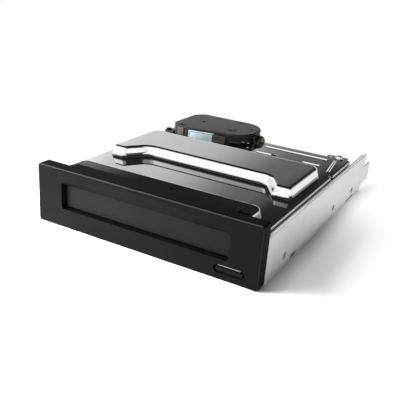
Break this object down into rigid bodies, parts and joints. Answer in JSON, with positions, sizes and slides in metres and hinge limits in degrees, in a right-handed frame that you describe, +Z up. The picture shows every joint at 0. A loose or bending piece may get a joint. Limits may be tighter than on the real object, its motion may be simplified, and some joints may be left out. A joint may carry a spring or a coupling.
{
  "type": "removable disk drive",
  "caption": "Internal 3.5-inch bay drive for removable disk cartridges: moulded front with slot door and eject button, formed cover, stamped chassis and loading gearbox.",
  "frame": {"origin": "centre of the drive's outline, on its underside", "axes": "+X to the right as seen from the front, +Y towards the rear, +Z up; the bezel faces -Y"},
  "size_m": [0.1016, 0.1448, 0.0254],
  "materials": {
    "bezel_plastic": "satin charcoal",
    "door_plastic": "satin charcoal",
    "button_grey": "metallic grey",
    "cover_polished": "mirror polished sheet",
    "tray_steel": "satin galvanised",
    "frame_steel": "satin",
    "post_steel": "turned",
    "pin_steel": "ground",
    "spring_steel": "bright",
    "screw_steel": "zinc plated",
    "screw_dark": "blackened",
    "housing_black": "satin moulded",
    "label_paper": "plain coated label",
    "motor_steel": "plated can",
    "motor_cap": "moulded",
    "lead_red": "insulated wire",
    "guide_plastic": "moulded",
    "carriage_plastic": "acetal",
    "gear_plastic": "acetal",
    "worm_brass": "machined",
    "arm_aluminium": "machined",
    "slider_ceramic": "lapped ceramic",
    "coil_copper": "enamelled wire",
    "magnet_nickel": "nickel plated",
    "stop_rubber": "moulded",
    "flex_amber": "polyimide film",
    "switch_plastic": "moulded",
    "contact_gold": "plated",
    "board_green": "solder mask",
    "chip_black": "moulded",
    "socket_ivory": "moulded",
    "capacitor_metal": "drawn can",
    "connector_black": "moulded"
  },
  "bodies": {
    "chassis": {"front_bezel": "bezel_plastic", "door_pin": "pin_steel", "door_spring": "spring_steel", "eject_switch": "switch_plastic", "base_tray": "tray_steel", "inner_frame": "frame_steel", "frame_posts": "post_steel", "frame_screws": "screw_steel", "top_cover": "cover_polished", "cover_screw": "screw_steel", "guide_right": "guide_plastic", "guide_left": "guide_plastic", "carriage_studs": "post_steel", "gear_pin": "pin_steel", "motor_case": "motor_steel", "motor_end_cap": "motor_cap", "motor_leads": "lead_red", "gearbox_base": "housing_black", "gearbox_lid": "housing_black", "gearbox_screws": "screw_dark", "gearbox_label": "label_paper", "pivot_shaft": "pin_steel", "lower_yoke": "post_steel", "upper_yoke": "post_steel", "lower_magnet": "magnet_nickel", "upper_magnet": "magnet_nickel", "yoke_posts": "post_steel", "crash_stops": "stop_rubber", "head_ramp": "guide_plastic", "flex_circuit": "flex_amber", "flex_bracket": "guide_plastic", "contact_block": "guide_plastic", "contact_springs": "contact_gold", "circuit_board": "board_green", "board_chips": "chip_black", "board_sockets": "socket_ivory", "board_capacitors": "capacitor_metal", "board_screws": "screw_steel", "rear_connector": "connector_black"},
    "door": {"slot_door": "door_plastic"},
    "button": {"eject_button": "button_grey", "switch_plunger": "switch_plastic"},
    "carriage": {"load_carriage": "carriage_plastic"},
    "output": {"pinion_shaft": "gear_plastic", "output_gear": "gear_plastic"},
    "wheel": {"worm_wheel": "gear_plastic"},
    "worm": {"worm_shaft": "worm_brass"},
    "actuator": {"actuator_arm": "arm_aluminium", "pivot_bearings": "pin_steel", "head_suspensions": "spring_steel", "head_sliders": "slider_ceramic", "voice_coil": "coil_copper"}
  },
  "joints": [
    {"name": "door_swing", "type": "hinge", "parent": "chassis", "child": "door", "pos_m": [0, -0.0679, 0.0206], "axis": [1, 0, 0], "range_deg": [0, 92], "stiffness_Nm_per_rad": 0.0002, "springref_deg": -28.65},
    {"name": "eject_press", "type": "slide", "parent": "chassis", "child": "button", "axis": [0, 1, 0], "range_m": [0, 0.001], "stiffness_N_per_m": 400, "springref_m": -0.0005},
    {"name": "carriage_slide", "type": "slide", "parent": "chassis", "child": "carriage", "axis": [0, 1, 0], "range_m": [0, 0.02]},
    {"name": "output_turn", "type": "hinge", "parent": "chassis", "child": "output", "pos_m": [-0.0362, 0.03428, 0.0105], "axis": [0, 0, 1], "range_deg": [-160, 0]},
    {"name": "wheel_turn", "type": "hinge", "parent": "chassis", "child": "wheel", "pos_m": [-0.029, 0.0294, 0.0192], "axis": [0, 0, 1], "range_deg": [0, 304]},
    {"name": "worm_turn", "type": "hinge", "parent": "chassis", "child": "worm", "pos_m": [-0.029, 0.0366, 0.0192], "axis": [1, 0, 0], "range_deg": [0, 6060]},
    {"name": "head_swing", "type": "hinge", "parent": "chassis", "child": "actuator", "pos_m": [0.022, 0.0186, 0.0133], "axis": [0, 0, 1], "range_deg": [0, 46]}
  ],
  "couplings": [
    {"joint": "output_turn", "follows": "carriage_slide", "rad_per_m": -138.89},
    {"joint": "wheel_turn", "follows": "carriage_slide", "rad_per_m": 263.89},
    {"joint": "worm_turn", "follows": "carriage_slide", "rad_per_m": 5277.8}
  ]
}
